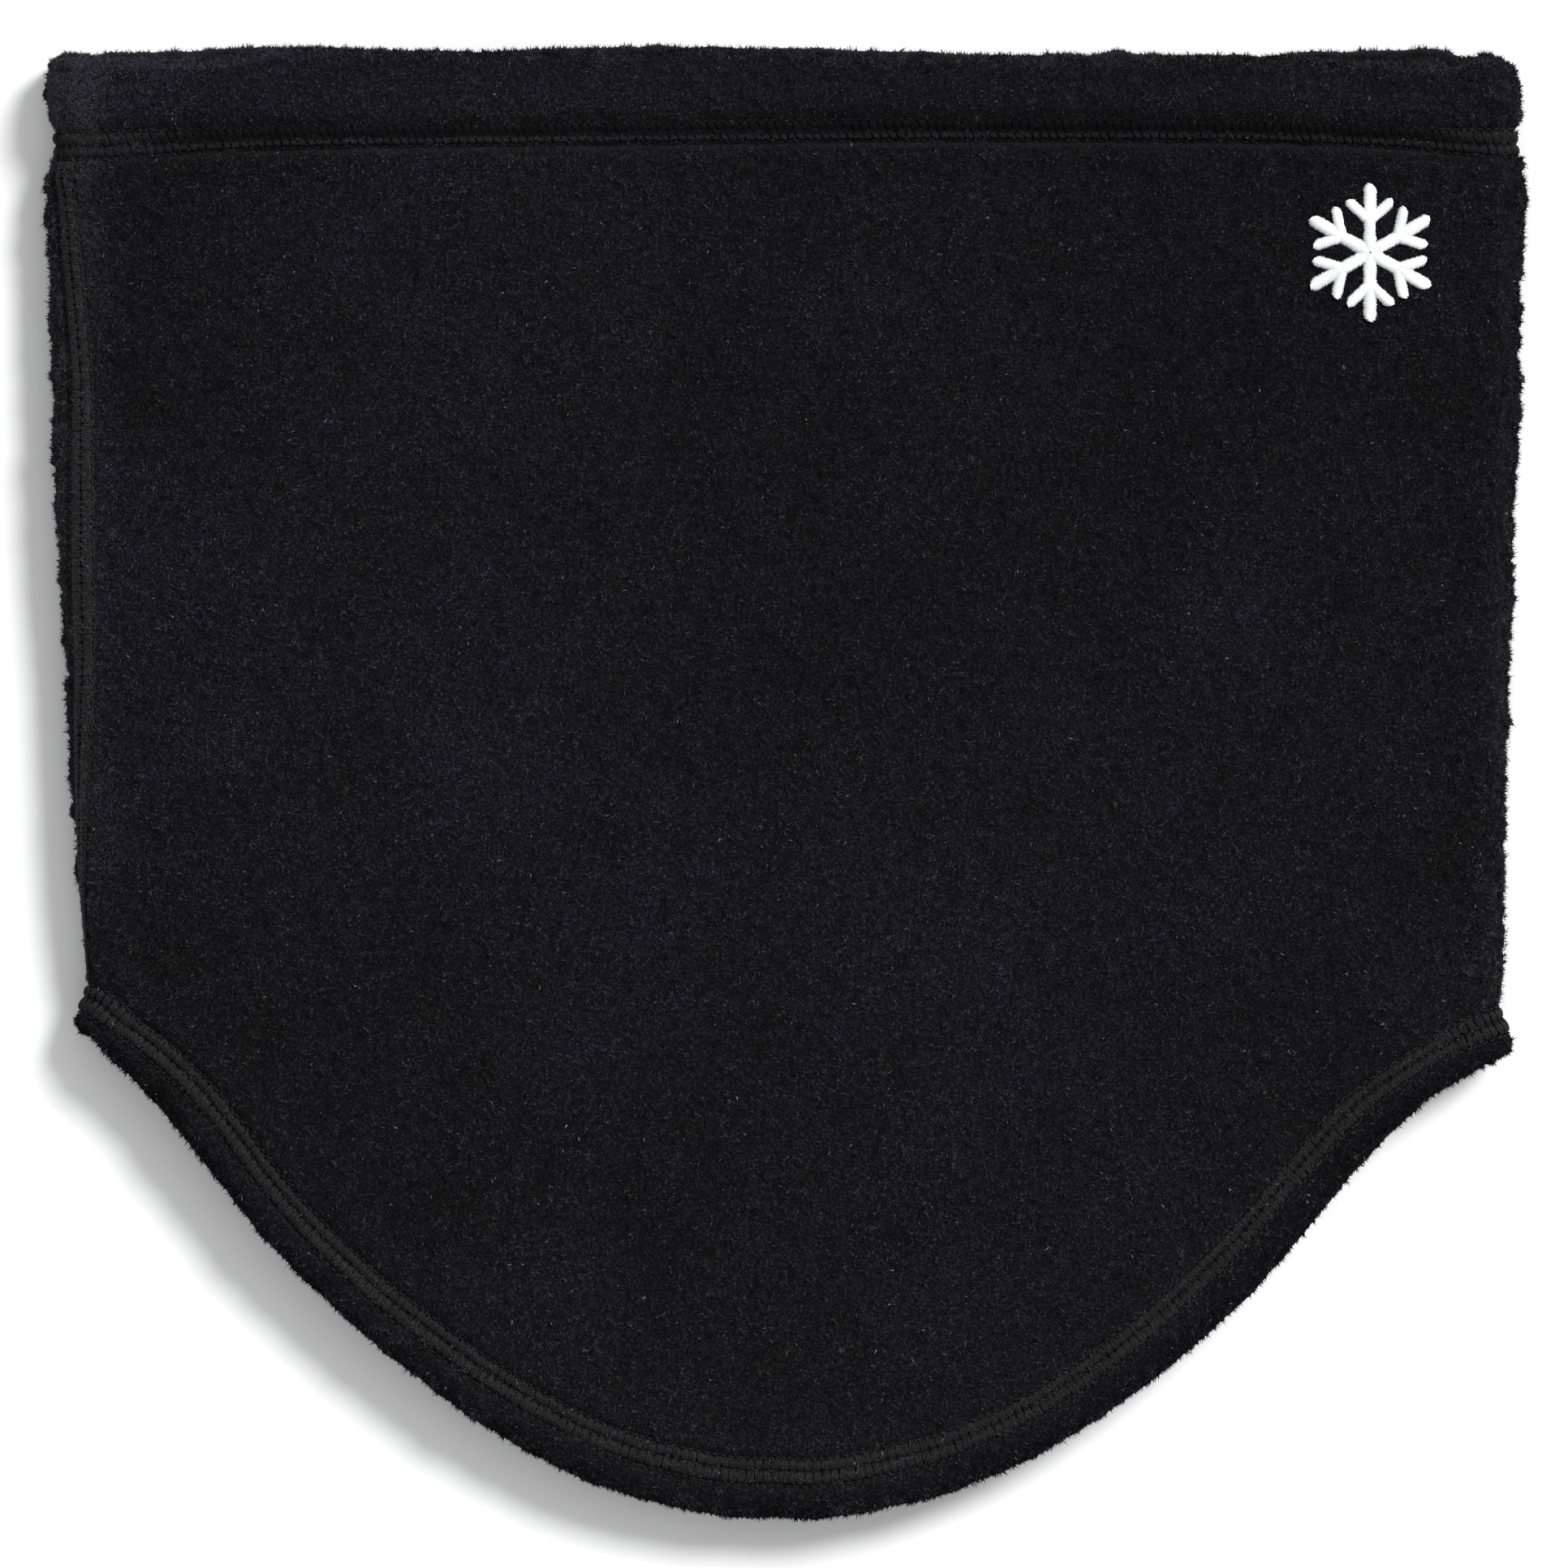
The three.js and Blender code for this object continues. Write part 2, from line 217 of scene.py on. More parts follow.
def spot(u, y):
    """Where column u lies at height y: place across the floor, and 1 on the front, 0 on the back."""
    mid, half, radius, across, nx, nz = section_at(u, y)
    return mid + across * half + nx * radius, (nz + 1) / 2


def wrap(u):
    """Arc length from the left seam, the short way round."""
    return np.mod(u + AROUND / 2, AROUND) - AROUND / 2


def from_seam(u):
    """Distance round the tube from the nearer side seam."""
    return np.minimum(np.abs(wrap(u)), np.abs(wrap(u - RIGHT_SEAM)))


def field(seed, scale, count):
    """Smooth noise over the unrolled cloth, about 1 in size, repeating round the tube and every
    320 mm along it."""
    tall = 320.0
    rng = np.random.default_rng(seed)
    rows, cols = count
    grid = rng.standard_normal((rows, cols))
    fy = np.fft.fftfreq(rows, tall / rows)[:, None]
    fx = np.fft.fftfreq(cols, AROUND / cols)[None, :]
    soft = np.exp(-2 * (math.pi * scale) ** 2 * (fx * fx + fy * fy))
    grid = np.real(np.fft.ifft2(np.fft.fft2(grid) * soft))
    grid /= grid.std()

    def sample(u, y):
        a = np.mod(u, AROUND) / AROUND * cols
        b = np.mod(y + tall / 2, tall) / tall * rows
        i, j = np.floor(a).astype(int), np.floor(b).astype(int)
        fa, fb = a - i, b - j
        i, j = i % cols, j % rows
        i1, j1 = (i + 1) % cols, (j + 1) % rows
        return ((grid[j, i] * (1 - fa) + grid[j, i1] * fa) * (1 - fb)
                + (grid[j1, i] * (1 - fa) + grid[j1, i1] * fa) * fb)
    return sample


tufts = field(11, 0.42, (900, 1680))
clumps = field(12, 1.3, (480, 900))
lumps = field(13, 6.0, (160, 300))
waves = field(14, 22.0, (64, 120))


def tabled(width, function):
    """A function of place round the tube, rounded over width mm and kept as a table."""
    count = 2400
    u = np.arange(count) * AROUND / count
    values = np.fft.rfft(function(u))
    values *= np.exp(-2 * (math.pi * width * np.arange(len(values)) / AROUND) ** 2)
    soft = np.fft.irfft(values, count)
    return lambda t: np.interp(np.mod(t, AROUND), u, soft, period=AROUND)


def ragged(u, y):
    """The small unevenness of a hem's edge."""
    return 0.14 * clumps(u, y) + 0.09 * tufts(u, y)


def chin_edge_at(u):
    x, top = spot(u, CHIN_EDGE_Y)
    return front_chin(x) * top + back_chin(x) * (1 - top) + ragged(u, 150)


def bib_edge_at(u):
    """The back layer's edge is a little inside the front's."""
    x, top = spot(u, BIB_Y)
    return bib_edge(x) - 0.15 + 1.5 * (1 - top) + ragged(u, -150)


def slope_at(u):
    """The bib edge's slope, level again at the folds."""
    slope = (bib_y(u + 1.5) - bib_y(u - 1.5)) / 3
    return slope * (1 - ease(np.abs(spot(u, BIB_Y)[0] - 1.5), 136, 140))


def chin_line_at(u):
    """The back's line is level."""
    x, top = spot(u, CHIN_BAND_Y)
    return chin_needles(x) * top + CHIN_BAND_Y * (1 - top)


def bib_line_at(u):
    x, top = spot(u, BIB_Y)
    return bib_y(u) + (bib_reach(x) + 0.3 * top) * np.hypot(1, bib_slope(u))


def openness_at(u):
    """1 where the chin band lies open, 0 where the hem's roll leans over it."""
    x, top = spot(u, CHIN_BAND_Y)
    return 1 - ease(x, -137, -108) * (1 - ease(x, 122, 140)) * top


chin_y = tabled(0.4, chin_edge_at)
bib_y = tabled(0.4, bib_edge_at)
bib_slope = tabled(3.5, slope_at)
chin_line = tabled(2.0, chin_line_at)
bib_line = tabled(3.0, bib_line_at)
openness = tabled(3.0, openness_at)


def steepness(u):
    """The cosine of the bib edge's slope."""
    return 1 / np.hypot(1, bib_slope(u))


def chin_squeeze(u):
    return SQUEEZED + (1 - SQUEEZED) * openness(u)


def shade_under_roll(u):
    x, top = spot(u, CHIN_BAND_Y)
    return chin_shade(x) * top + 0.8 * (1 - top)


def same_all_round(u):
    return 1.0 + 0 * u


# Height of the cloth's face across a band, by distance from its middle needle line: towards the
# body for the chin's leaning band, and towards the hem's edge for a band that lies open
LEANING = smooth_curve([
    (-18, 0.2), (-14, 0.8), (-10, 1.4), (-7, 1.8), (-4.5, 1.8), (-3.0, 1.4), (-2.2, 0.6),
    (-1.6, -0.4), (-0.6, -1.9), (0, -2.4), (0.4, -1.65), (0.9, -1.45), (1.4, -1.7), (1.8, -2.35),
    (2.15, -2.1), (2.7, -0.9), (3.4, 0.1), (5, 0.5), (9, 0.2), (14, 0)], 0.4)
OPEN = smooth_curve([
    (-14, 0), (-9, 0.15), (-5, 0.35), (-3.4, 0.2), (-2.8, -0.35), (-2.4, -0.7), (-1.9, -0.35),
    (-1.2, -0.2), (-0.5, -0.4), (0, -0.7), (0.5, -0.4), (1.5, -0.15), (2.4, -0.35), (2.95, -0.75),
    (3.4, -0.4), (4.0, 0.2), (5.5, 0.6), (8, 0.7), (12, 0.5), (18, 0.2)], 0.3)
# The same across a side seam, by distance round the tube towards the seam's own layer
SEAM = smooth_curve([
    (-9, 0), (-4.5, 0.35), (-3.5, 0.15), (-2.9, -0.85), (-2.4, -0.6), (-1.2, -0.1), (-0.4, -0.3),
    (0, -0.5), (0.4, -0.3), (1.2, -0.1), (2.4, -0.2), (2.9, -0.1), (3.6, 0.2), (5, 0.25),
    (9, 0)], 0.3)


def relief(u, y, pile=True):
    """How far the cloth's outer face stands off the plain tube."""
    x, top = spot(u, y)
    side = 4 * top * (1 - top)
    top = ease(top, 0.5, 0.95)
    # the bands of stitching and the side seams
    below_chin = chin_line(u) - y
    free = openness(u)
    chin = LEANING(below_chin) * (1 - free) + OPEN(-below_chin) * free
    above_bib = (y - bib_line(u)) * steepness(u)
    from_left, from_right = wrap(u), wrap(u - RIGHT_SEAM)
    between = ease(below_chin, 1.5, 4.5) * ease(above_bib, 1.5, 4.5)
    seams = (SEAM(from_left) + SEAM(-from_right)) * between
    # the front sags between the hems, swells here and there, and puckers along its bands
    body = ease(below_chin, 4, 40) * ease(above_bib, 4, 45)
    sag = -1.5 * body * (1 - ease(np.abs(x), 70, 141))
    swell = 0.45 * waves(u, y) + 0.22 * lumps(u, y)
    pucker = 0.28 * lumps(u * 2.3, 0 * u + 40) * np.exp(-(below_chin / 7) ** 2)
    pucker = pucker + 0.25 * lumps(u * 2.1, 0 * u - 70) * np.exp(-(above_bib / 6) ** 2)
    plain = chin + OPEN(-above_bib) + seams + (sag + swell + pucker) * top
    # the back lies on the floor, so nothing there stands out
    plain = np.minimum(plain, 0) + np.maximum(plain, 0) * top
    if not pile:
        return plain
    on_band = np.exp(-(below_chin / 2.2) ** 4) + np.exp(-(above_bib / 2.6) ** 4)
    on_band = np.clip(on_band + np.exp(-(from_left / 2.4) ** 4), 0, 1)
    rough = (1 - 0.8 * on_band) * (0.15 * tufts(u, y) + 0.13 * clumps(u, y)) * (1 + 1.2 * side)
    return plain + rough - 0.12 - 0.3 * on_band * (1 - top)


def tone_and_painted_light_at(u, y):
    """Tone of the fleece, with painted light and shade: painted light along the left fold and over
    the hem's left end, a painted highlight along the front's chin edge towards its ends, paler over
    the bib's middle, painted shade along the bib's edge, at the right fold's edge and on both sides
    of the chin stitching, and random tone in waves and lumps."""
    x, top = spot(u, y)
    on_side = ease(y, -45, -5)
    return ((1.9 * np.exp(-((x + 138.6) / 4.6) ** 2) * top + 0.9 * ease(-x, 141, 143)) * on_side
            + (0.4 * ease(-x, 92, 118) + 1.0 * ease(-x, 112, 142)) * ease(y, 116, 124)
            + (1.2 * ease(-x, 70, 112) + 0.8 * ease(x, 108, 124))
            * np.exp(-((chin_y(u) - y - 1.2) / 0.9) ** 2) * top ** 2
            + 0.75 * np.exp(-((x + 22) / 75) ** 2 - ((y + 118) / 42) ** 2)
            - 0.9 * (1 - ease(y - bib_y(u), 2.5, 8)) - 0.3 * ease(x, 141, 144)
            - 0.5 * np.exp(-((y - chin_line(u) - 3.4) / 1.6) ** 2)
            - 0.5 * np.exp(-((chin_line(u) - y - 2.7) / 1.0) ** 2) * top
            + 0.18 * waves(u, y) + 0.12 * lumps(u, y))


def place(u, y, depth=0.0, pile=False):
    """A point of the cloth, depth below its outer face."""
    mid, half, radius, across, nx, nz = section_at(u, y)
    reach = radius - depth + relief(u, y, pile)
    return np.stack([
        mid + across * half + nx * reach,
        y + 0 * u,
        np.maximum(radius + nz * reach, 0.02)], -1)


def normals_at(u, y, depth):
    """The outward direction of the plain face at each point."""
    step = 0.35
    du = place(u + step, y, depth) - place(u - step, y, depth)
    dy = place(u, y + step, depth) - place(u, y - step, depth)
    n = np.cross(du, dy)
    return n / np.linalg.norm(n, axis=1, keepdims=True)


def on_front(x, y, lift):
    """A point lift above the front face near (x, y) of the finished outline."""
    mid, half = section_at(0 * x, y)[:2]
    u = LEAD + ((x - mid) / half + 1) * STRAIGHT / 2 - seam_roll(y)
    return place(u, y, -lift)


# ------ meshes

def add_object(name, mesh):
    ob = bpy.data.objects.new(name, mesh)
    bpy.context.scene.collection.objects.link(ob)
    return ob


def mesh_of(name, points, faces, smooth=True):
    """faces is a list, or an array whose rows all have one length."""
    mesh = bpy.data.meshes.new(name)
    points = np.asarray(points, float).reshape(-1, 3) * MM
    if isinstance(faces, list):
        mesh.from_pydata(points.tolist(), [], faces)
    else:
        faces = np.asarray(faces, np.int32)
        count, sides = faces.shape
        mesh.vertices.add(len(points))
        mesh.vertices.foreach_set("co", points.astype(np.float32).ravel())
        mesh.loops.add(count * sides)
        mesh.loops.foreach_set("vertex_index", faces.ravel())
        mesh.polygons.add(count)
        mesh.polygons.foreach_set("loop_start", np.arange(0, count * sides, sides, dtype=np.int32))
    mesh.update(calc_edges=True)
    mesh.polygons.foreach_set("use_smooth", np.full(len(mesh.polygons), smooth))
    mesh.validate()
    return add_object(name, mesh)


def paint_light_and_tone(ob, tone):
    """Keep tone, a number for each point that the material's colour is multiplied by: painted light and
    shade, and on the panels random tone as well.
    """
    colour = np.ones((len(tone), 4))
    colour[:, :3] = tone[:, None]
    ob.data.color_attributes.new("light_and_tone", "FLOAT_COLOR", "POINT").data.foreach_set("color", colour.ravel())


def grid_quads(rows, cols, start=0):
    """The quads of a grid of points that are numbered from start, row by row."""
    return [(a, a + 1, a + cols + 1, a + cols)
            for r in range(rows - 1) for a in range(start + r * cols, start + r * cols + cols - 1)]


def raw_edge(outer, inner, flip):
    """Faces that close a panel's raw edge: three spans of its outer face to one of its inner face."""
    faces = []
    for k in range(len(inner) - 1):
        face = (*outer[3 * k:3 * k + 4], inner[k + 1], inner[k])
        faces.append((*face[3::-1], face[5], face[4]) if flip else face)
    return faces


def panel_rows(u):
    """Rows from the raw edge inside the chin hem to the one inside the bib hem: for each, the outer
    face's heights and depths at columns u, and the inner face's. Their number is one more than a
    multiple of three."""
    chin, bib, square = chin_y(u), bib_y(u), steepness(u)
    chin_mid, bib_mid = chin_line(u), bib_line(u)
    rows = []

    def row(y, depth, inner_y, inner_depth):
        rows.append((y, depth + 0 * u, inner_y, inner_depth + 0 * u))

    def turned_in(y):
        row(y, 2 * HEM_FOLD, y, 2 * HEM_FOLD - CLOTH)

    def face(y):
        row(y, 0.0, y, CLOTH)

    def face_between(start, stop, shares):
        for share in shares:
            face(start + (stop - start) * share)

    for step in np.linspace(CHIN_TURN_IN, HEM_FOLD, 7)[:-1]:
        turned_in(chin - step)
    for turn in np.linspace(0, math.pi, 9):
        out, down = math.sin(turn), math.cos(turn)
        row(chin - HEM_FOLD + out * HEM_FOLD, HEM_FOLD * (1 + down),
            chin - HEM_FOLD + out * 0.1, HEM_FOLD + 0.1 * down)
    face_between(chin - HEM_FOLD, chin_mid + 6.0, np.linspace(0, 1, 12)[1:-1])
    for step in CHIN_STEPS:
        face(chin_mid - step)
    face_between(chin_mid - PAST_CHIN, bib_mid + PAST_BIB / square, np.linspace(0, 1, MIDDLE_ROWS))
    for step in BIB_STEPS:
        face(bib_mid + step / square)
    face_between(bib_mid - 3.6 / square, bib + HEM_FOLD / square, np.linspace(0, 1, 4)[:-1])
    for turn in np.linspace(0, math.pi, 9):
        out, down = math.sin(turn), math.cos(turn)
        row(bib + (HEM_FOLD - out * HEM_FOLD) / square, HEM_FOLD * (1 - down),
            bib + (HEM_FOLD - out * 0.1) / square, HEM_FOLD - 0.1 * down)
    for step in np.linspace(HEM_FOLD, BIB_TURN_IN, 6)[1:]:
        turned_in(bib + step / square)
    while (len(rows) - 1) % 3:
        turned_in(bib + (BIB_TURN_IN + 0.3) / square)
    return rows


def columns(first, last, pitch, fold_pitch):
    """Column places from first to last round the tube, closer together on the side folds and near
    the seams. Their number is one more than a multiple of three."""
    places = [first]
    while places[-1] < last:
        u = places[-1]
        flat = abs(around(u)[2]) > 0.999
        places.append(u + (0.4 if from_seam(u) < 4 else pitch if flat else fold_pitch))
    places = np.array(places)
    places = first + (places - first) * (last - first) / (places[-1] - first)
    extra = (-(len(places) - 1)) % 3
    if extra:
        middle = len(places) // 2
        added = [places[middle + i] + (places[middle + i + 1] - places[middle + i]) / 2
                 for i in range(0, 2 * extra, 2)]
        places = np.sort(np.concatenate([places, added]))
    return places


def panel(name, first, last, pitch, fold_pitch):
    """One layer of cloth with its hems turned in. Its inner face has a third of the outer's rows
    and columns."""
    u = columns(first, last, pitch, fold_pitch)
    rows = panel_rows(u)
    outer = np.stack([place(u, y, d, pile=True) for y, d, _, _ in rows])
    inner = np.stack([place(u[::3], y[::3], d[::3], pile=False) for _, _, y, d in rows[::3]])
    shift = outer.shape[0] * outer.shape[1]
    outer_at = np.arange(shift).reshape(outer.shape[:2])
    inner_at = shift + np.arange(inner.shape[0] * inner.shape[1]).reshape(inner.shape[:2])
    faces = grid_quads(*outer_at.shape)
    faces += [(a, d, c, b) for a, b, c, d in grid_quads(*inner_at.shape, shift)]
    for at, flip in ((0, True), (-1, False)):
        faces += raw_edge(outer_at[at].tolist(), inner_at[at].tolist(), flip)
        faces += raw_edge(outer_at[:, at].tolist(), inner_at[:, at].tolist(), not flip)
    points = np.concatenate([outer.reshape(-1, 3), inner.reshape(-1, 3)])
    ob = mesh_of(name, points, faces)
    # painted light and shade, with random tone, that the fleece's colour is multiplied by
    light_and_tone = np.exp(0.42 * np.stack([tone_and_painted_light_at(u, y) for y, _, _, _ in rows])).ravel()
    paint_light_and_tone(ob, np.concatenate([light_and_tone, np.ones(len(points) - shift)]))
    return ob


def fibres(name, root, normal, rng, length, width, rise, pull):
    """Short tapered fibres of the pile, standing off the cloth at random; pull shifts their tips."""
    count = len(root)
    spin = rng.uniform(0, 2 * math.pi, count)
    helper = np.cross(normal, [0.0, 1.0, 0.13])
    helper /= np.linalg.norm(helper, axis=1, keepdims=True)
    other = np.cross(normal, helper)
    flat = helper * np.cos(spin)[:, None] + other * np.sin(spin)[:, None]
    side = helper * -np.sin(spin)[:, None] + other * np.cos(spin)[:, None]
    way = flat * np.cos(rise)[:, None] + normal * np.sin(rise)[:, None]
    roll = rng.uniform(-0.9, 0.9, count)[:, None]
    side = side * np.cos(roll) + np.cross(way, side) * np.sin(roll)
    wide = rng.uniform(*width, count)[:, None]
    root = root - normal * 0.12
    tip = root + way * length[:, None] + pull
    points = np.stack([root - side * wide / 2, root + side * wide / 2, tip], 1)
    points[..., 2] = np.maximum(points[..., 2], 0.03)
    return mesh_of(name, points, np.arange(3 * count).reshape(-1, 3), smooth=False)


def sweep(steps, point):
    """Paths, one for each stitch, through point(share) at so many shares from 0 to 1."""
    return np.stack([point(share) for share in np.linspace(0, 1, steps)], 1)


def ribbon_tubes(paths, size, across, sides=6):
    """Tubes of width and thickness size, closed at their ends, along many paths of equal point
    count. across is each path's sideways direction. Returns points and quads."""
    wide, thick = size
    count, steps = paths.shape[:2]
    ahead = np.gradient(paths, axis=1)
    ahead /= np.maximum(np.linalg.norm(ahead, axis=2, keepdims=True), 1e-9)
    side = np.repeat(across[:, None, :], steps, 1)
    side = side - ahead * (side * ahead).sum(2, keepdims=True)
    side /= np.maximum(np.linalg.norm(side, axis=2, keepdims=True), 1e-9)
    up = np.cross(side, ahead)
    turn = np.arange(sides) * 2 * math.pi / sides
    taper = np.ones(steps)
    taper[0] = taper[-1] = 0.55
    ring = (side[:, :, None, :] * (np.cos(turn)[None, None, :, None] * wide / 2)
            + up[:, :, None, :] * (np.sin(turn)[None, None, :, None] * thick / 2))
    points = (paths[:, :, None, :] + ring * taper[None, :, None, None]).reshape(-1, 3)
    s, k = np.meshgrid(np.arange(steps - 1) * sides, np.arange(sides), indexing="ij")
    n = (k + 1) % sides
    body = np.stack([s + k, s + n, s + sides + n, s + sides + k], -1).reshape(-1, 4)
    caps = np.array([(3, 2, 1, 0), (5, 4, 3, 0)][:sides // 2 - 1])
    quads = np.concatenate([body, caps, caps[:, ::-1] + (steps - 1) * sides])
    starts = np.arange(count)[:, None, None] * steps * sides
    return points, (quads[None] + starts).reshape(-1, 4)


def joined(name, parts):
    """One object from several (points, quads)."""
    starts = np.cumsum([0] + [len(p) for p, _ in parts])
    faces = np.concatenate([quads + start for (_, quads), start in zip(parts, starts)])
    return mesh_of(name, np.concatenate([p for p, _ in parts]), faces)


class Band:
    """A hem's band of stitches all round the tube. line is its middle needle line, squeeze its width
    against that of a band that lies open, and edge is +1 where the hem's edge lies towards the bib,
    -1 where it lies towards the chin."""

    def __init__(self, line, squeeze, edge):
        self.line, self.squeeze, self.edge = line, squeeze, edge
        u = np.linspace(0.0, AROUND * (1 - 1e-6), 6000)
        run = place(u, line(u))
        length = np.concatenate([[0], np.cumsum(np.linalg.norm(np.diff(run, axis=0), axis=1))])
        count = int(length[-1] / STITCH)
        self.spots = np.interp((np.arange(count) + 0.5) * length[-1] / count, length, u)
        self.ahead = self.point(0.5, 0, 0) - self.point(-0.5, 0, 0)
        self.aside = self.point(0, 0.5, 0) - self.point(0, -0.5, 0)

    def point(self, run, over, lift):
        """From each stitch's place, run along the band and over across it, towards the bib."""
        u0 = self.spots
        slope = (self.line(u0 + 0.8) - self.line(u0 - 0.8)) / 1.6
        c = 1 / np.sqrt(1 + slope * slope)
        over = over * self.squeeze(u0)
        return place(u0 + (run + over * slope) * c, self.line(u0) + (run * slope - over) * c, -lift)

    def reach(self, side):
        """How far the outer needle line on that side lies from the middle one."""
        return EDGE_NEEDLE if side == self.edge else BODY_NEEDLE


def cover_stitch(name, band, shade, rng):
    """The outside of a three-needle cover stitch, as two objects: the cover thread's two ladders
    that meet at the middle needle line, and the needle threads' short stitches along both outer
    lines."""
    count = len(band.spots)
    ladders, needles = [], []
    fan = 0.10 + 0.24 * np.clip((band.squeeze(band.spots) - SQUEEZED) / (1 - SQUEEZED), 0, 1)
    for ladder in (-1, 1):
        for strand in np.linspace(-1, 1, STRANDS):
            wander = rng.normal(0, 0.03, count)
            high = rng.normal(0, 0.03, count)

            def point(share):
                arch = math.sin(math.pi * share)
                over = ladder * (0.04 + (band.reach(ladder) - 0.18) * share)
                run = strand * (0.36 + fan * arch) + wander + rng.normal(0, 0.045, count)
                lift = 0.06 + 0.14 * arch ** 0.6 - 0.04 * strand ** 2 + high * arch
                lift = lift + rng.normal(0, 0.035, count) - (0.2 if share == 1 else 0.0)
                return band.point(run, over, lift)

            ladders.append(ribbon_tubes(sweep(5, point), COVER_STRAND, band.ahead, 4))
    for side in (-1, 1):
        # the line under the chin hem's roll lies deep
        sunk = (0.35 if side == band.edge == -1 else 0.0) * (1 - openness(band.spots))

        def point(share):
            run = (share - 0.5) * STITCH * 0.8 + STITCH / 2
            lift = -0.16 + 0.36 * math.sin(math.pi * share) ** 0.8 - sunk
            over = side * (band.reach(side) + 0.16) + rng.normal(0, 0.03, count)
            return band.point(run, over, lift)

        needles.append(ribbon_tubes(sweep(5, point), NEEDLE_THREAD, band.aside))
    made = []
    for kind, parts in (("cover", ladders), ("needle", needles)):
        ob = joined(f"{name}_{kind}_threads", parts)
        # their tone is painted shade, darker where the chin hem's roll leans over the band
        tone = shade(band.spots)
        paint_light_and_tone(ob, np.concatenate([np.repeat(tone, len(p) // count) for p, _ in parts]))
        made.append(ob)
    return made


def looper_stitch(name, band):
    """The inside of a cover stitch: the looper thread's zigzag between the needle lines."""
    parts = []
    for first, last in ((-BODY_NEEDLE, 0), (0, BODY_NEEDLE), (BODY_NEEDLE, -BODY_NEEDLE)):
        def point(share):
            lift = -(2 * HEM_FOLD + 0.10 + 0.16 * math.sin(math.pi * share))
            return band.point(STITCH * (share - 0.5), first + (last - first) * share, lift)

        parts.append(ribbon_tubes(sweep(5, point), LOOPER_THREAD, band.ahead))
    return joined(name, parts)


def up_the_tube(count):
    return np.tile([0.0, 1.0, 0.0], (count, 1))


def seam_stitch(name, seam_u, spots, rng):
    """The outside of a flatlock side seam: the cover thread's two ladders, and both needle lines."""
    count = len(spots)
    middle = seam_u + 0 * spots
    parts = []
    for ladder in (-1, 1):
        for strand in np.linspace(-1, 1, STRANDS):
            wander = rng.normal(0, 0.04, count)

            def point(share):
                arch = math.sin(math.pi * share)
                over = ladder * (0.04 + (SEAM_NEEDLE - 0.14) * share)
                run = strand * (0.36 + 0.34 * arch) + wander + rng.normal(0, 0.045, count)
                lift = 0.12 * arch ** 0.7 + rng.normal(0, 0.03, count) - (0.25 if share == 1 else 0.0)
                return place(middle + over, spots - run, -lift)

            parts.append(ribbon_tubes(sweep(6, point), SEAM_STRAND, up_the_tube(count), 4))
    for side in (-1, 1):
        def point(share):
            y = spots - (share - 0.5) * STITCH * 0.86 - STITCH / 2
            lift = -0.12 + 0.34 * math.sin(math.pi * share) ** 0.8
            return place(middle + side * (SEAM_NEEDLE + 0.1), y, -lift)

        parts.append(ribbon_tubes(sweep(5, point), SEAM_NEEDLE_THREAD, normals_at(middle, spots, 0.0)))
    return joined(name, parts)


def seam_inner_stitch(name, seam_u, spots):
    """The inside of a flatlock side seam: threads that cross from line to line."""
    parts = []
    for first, last in ((-SEAM_NEEDLE, SEAM_NEEDLE), (SEAM_NEEDLE, -SEAM_NEEDLE)):
        def point(share):
            over = first + (last - first) * share
            down = CLOTH + 0.12 + 0.14 * math.sin(math.pi * share)
            return place(seam_u + over + 0 * spots, spots - STITCH * (share - 0.5), down)

        parts.append(ribbon_tubes(sweep(6, point), LOOPER_THREAD, up_the_tube(len(spots))))
    return joined(name, parts)


# ------ materials

def material(name, rough, sheen=0.0, sheen_tint=(1, 1, 1), specular=0.5):
    mat = bpy.data.materials.new(name)
    mat.use_nodes = True
    shader = mat.node_tree.nodes["Principled BSDF"]
    shader.inputs["Roughness"].default_value = rough
    shader.inputs["Specular IOR Level"].default_value = specular
    shader.inputs["Sheen Weight"].default_value = sheen
    shader.inputs["Sheen Roughness"].default_value = 0.5
    shader.inputs["Sheen Tint"].default_value = (*sheen_tint, 1)
    return mat, mat.node_tree, shader


def node(tree, kind, **settings):
    made = tree.nodes.new(kind)
    for key, value in settings.items():
        if key in made.inputs:
            made.inputs[key].default_value = value
        else:
            setattr(made, key, value)
    return made


def noise_at(tree, where, size_mm, detail, rough):
    """Noise with features of about size_mm."""
    made = node(tree, "ShaderNodeTexNoise", Scale=1 / (size_mm * MM), Detail=detail,
                Roughness=rough)
    tree.links.new(where, made.inputs["Vector"])
    return made.outputs["Fac"]


def ramp(tree, source, stops):
    made = tree.nodes.new("ShaderNodeValToRGB")
    elements = made.color_ramp.elements
    while len(elements) < len(stops):
        elements.new(0.5)
    for element, (at, colour) in zip(elements, stops):
        element.position = at
        element.color = (*colour, 1)
    tree.links.new(source, made.inputs["Fac"])
    return made.outputs["Color"]


def mix_colours(tree, kind, first, second):
    """A full-strength colour Mix node, whose sockets are found by their identifiers."""
    made = tree.nodes.new("ShaderNodeMix")
    made.data_type = "RGBA"
    made.blend_type = kind
    sockets = {s.identifier: s for s in made.inputs}
    sockets["Factor_Float"].default_value = 1.0
    tree.links.new(first, sockets["A_Color"])
    tree.links.new(second, sockets["B_Color"])
    return {s.identifier: s for s in made.outputs}["Result_Color"]


def times_light_and_tone(tree, colour):
    """A colour times the tone kept on its points: painted light and shade, and on the panels random tone
    as well.
    """
    light_and_tone = node(tree, "ShaderNodeAttribute", attribute_name="light_and_tone")
    return mix_colours(tree, "MULTIPLY", colour, light_and_tone.outputs["Color"])


def bump(tree, shader, source, strength, height_mm):
    made = node(tree, "ShaderNodeBump", Strength=strength, Distance=height_mm * MM)
    tree.links.new(source, made.inputs["Height"])
    tree.links.new(made.outputs["Normal"], shader.inputs["Normal"])


